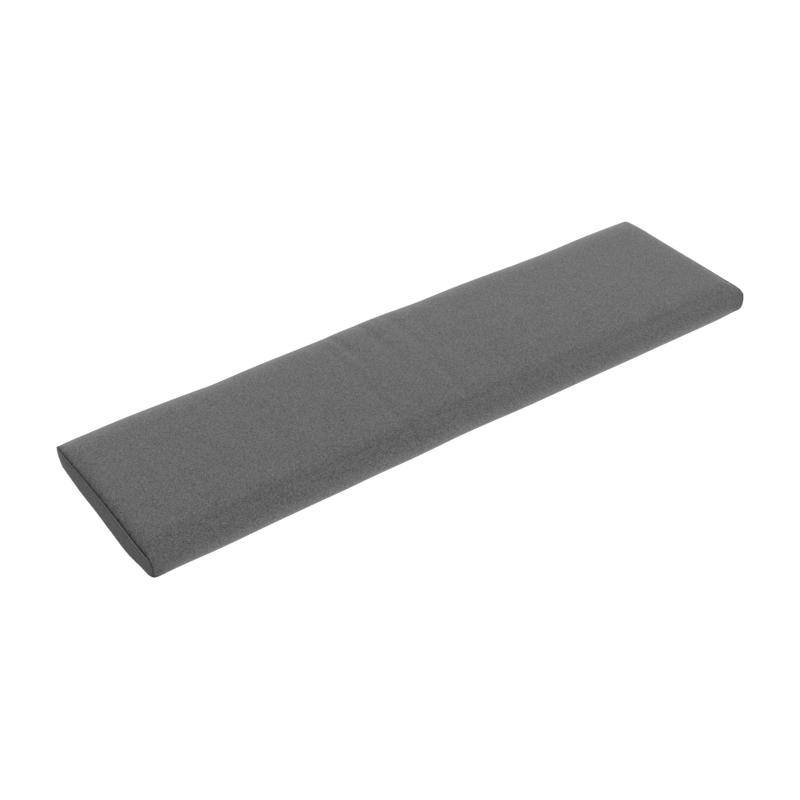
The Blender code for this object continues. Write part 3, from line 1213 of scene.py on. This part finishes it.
@dataclass
class Studio:
    """The white floor, the soft lights and the camera."""

    floor_size: float = 60.0
    floor_glow: float = 0.90  # what the floor gives the cushion from in front of it
    glow_half: float = 0.53  # the bright stretch runs this far to either side
    glow_fade: float = 0.05
    glow_rest: float = 0.065  # what it gives from all round
    floor_colour: float = 0.5
    seen_white: float = 1.02  # what the camera sees of the floor and the sky, with no shadow
    boxes: tuple[SoftBox, ...] = (
        SoftBox("back_light", 180.0, 20.0, 2.6, 1.6, 44.5),
        SoftBox("top_light", 180.0, 85.0, 2.4, 1.8, 24.5),
        SoftBox("right_light", 90.0, 20.0, 2.1, 1.6, 21.5),
        SoftBox("left_light", 270.0, 25.0, 2.6, 1.6, 15.3),
        SoftBox("front_light", 0.0, 15.0, 2.6, 1.6, 18.5),
    )
    # The camera: where it looks from, and the pixel size of the image that it was measured in
    azimuth: float = -35.045
    elevation: float = 37.729
    roll: float = -0.162
    distance: float = 2.1732
    target: Triple = (-0.05964, -0.01552, 0.0)
    focal_pixels: float = 1348.37
    image_pixels: float = 800.0
    sensor: float = 36.0

    def build(self) -> None:
        """Sets up the floor, the lights, the sky and the camera."""
        self.build_floor()
        self.build_lights()
        self.build_sky()
        self.build_camera()

    def build_floor(self) -> None:
        """A wide floor that glows in front of the cushion. The camera sees it as plain white."""
        half = self.floor_size / 2
        mesh = bpy.data.meshes.new("floor")
        mesh.from_pydata([(-half, -half, 0), (half, -half, 0), (half, half, 0), (-half, half, 0)],
                         [], [(0, 1, 2, 3)])
        floor = new_object("floor", mesh)
        material = bpy.data.materials.new("white_floor")
        material.use_nodes = True
        write = NodeWriter(material.node_tree)
        place = write.node('ShaderNodeTexCoord').outputs["Object"]
        apart = write.node('ShaderNodeSeparateXYZ', Vector=place)
        aside = write.math('ABSOLUTE', apart.outputs["X"])
        before = write.fading(apart.outputs["Y"], self.glow_fade / 2, -self.glow_fade / 2)
        beside = write.fading(aside, self.glow_half + self.glow_fade, self.glow_half)
        bright = write.math('MULTIPLY', before, beside)
        lit = write.math('MULTIPLY_ADD', bright, self.floor_glow, self.glow_rest)
        seen = write.node('ShaderNodeLightPath').outputs["Is Camera Ray"]
        unseen = write.math('SUBTRACT', 1.0, seen)
        white = write.math('MULTIPLY', seen, self.seen_white)
        write.fill(material.node_tree.nodes["Principled BSDF"], Roughness=0.9, Specular_IOR_Level=0.0,
                   Base_Color=write.math('MULTIPLY', unseen, self.floor_colour),
                   Emission_Color=(1, 1, 1, 1),
                   Emission_Strength=write.math('MULTIPLY_ADD', unseen, lit, white))
        mesh.materials.append(material)

    def build_lights(self) -> None:
        """Hangs each soft box and turns it to the cushion."""
        for box in self.boxes:
            lamp = bpy.data.lights.new(box.name, 'AREA')
            lamp.size = box.size
            lamp.energy = box.power
            light = new_object(box.name, lamp)
            away = direction(box.azimuth, box.elevation)
            light.location = away * box.distance
            light.rotation_euler = away.to_track_quat('Z', 'Y').to_euler()

    def build_sky(self) -> None:
        """A sky that gives no light but that the camera sees as white."""
        world = bpy.data.worlds.new("studio")
        bpy.context.scene.world = world
        world.use_nodes = True
        write = NodeWriter(world.node_tree)
        seen = write.node('ShaderNodeLightPath').outputs["Is Camera Ray"]
        write.fill(world.node_tree.nodes["Background"], Color=(1, 1, 1, 1),
                   Strength=write.math('MULTIPLY', seen, self.seen_white))

    def build_camera(self) -> None:
        """Sets the camera at the photograph's angle, and the colours as plain as it shows them."""
        back = direction(self.azimuth, self.elevation)
        right = (-back).cross(Vector((0, 0, 1))).normalized()
        up = right.cross(-back)
        turn = Matrix.Rotation(np.radians(self.roll), 3, back)
        axes = Matrix((turn @ right, turn @ up, back)).transposed().to_4x4()
        axes.translation = Vector(self.target) + back * self.distance
        data = bpy.data.cameras.new("camera")
        data.sensor_width = self.sensor
        data.lens = self.focal_pixels * self.sensor / self.image_pixels
        camera = new_object("camera", data)
        camera.matrix_world = axes
        bpy.context.scene.camera = camera
        bpy.context.scene.view_settings.view_transform = 'Standard'
        bpy.context.scene.view_settings.look = 'None'


def direction(azimuth: float, elevation: float) -> Vector:
    """The unit vector towards a place round the cushion: azimuth 0 is in front of it, at -Y."""
    a, e = np.radians(azimuth), np.radians(elevation)
    return Vector((np.sin(a) * np.cos(e), -np.cos(a) * np.cos(e), np.sin(e)))


def main() -> None:
    """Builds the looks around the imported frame, piece by piece."""
    logging.basicConfig(level=logging.INFO, format="%(name)s: %(message)s")
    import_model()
    Studio().build()
    form = PadForm()
    weave, mottle = weave_group(YARN_PITCH), mottle_group()
    cloth = WovenCloth()

    wrap = WrapCover(form).build()
    wrap.data.materials.append(cloth.material("wrap_cloth", weave, mottle))
    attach(wrap, BODY)
    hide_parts("padded_body")

    panel_cloth = cloth.material("panel_cloth", weave, mottle)
    for end, name, node in ((End.LEFT, "end_cover_left", "end_panel_left"),
                            (End.RIGHT, "end_cover_right", "end_panel_right")):
        panel = EndPanel(form, end, name).build()
        panel.data.materials.append(panel_cloth)
        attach(panel, BODY)
        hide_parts(node)

    LOG.info("sizes written")


if __name__ == "__main__":
    main()
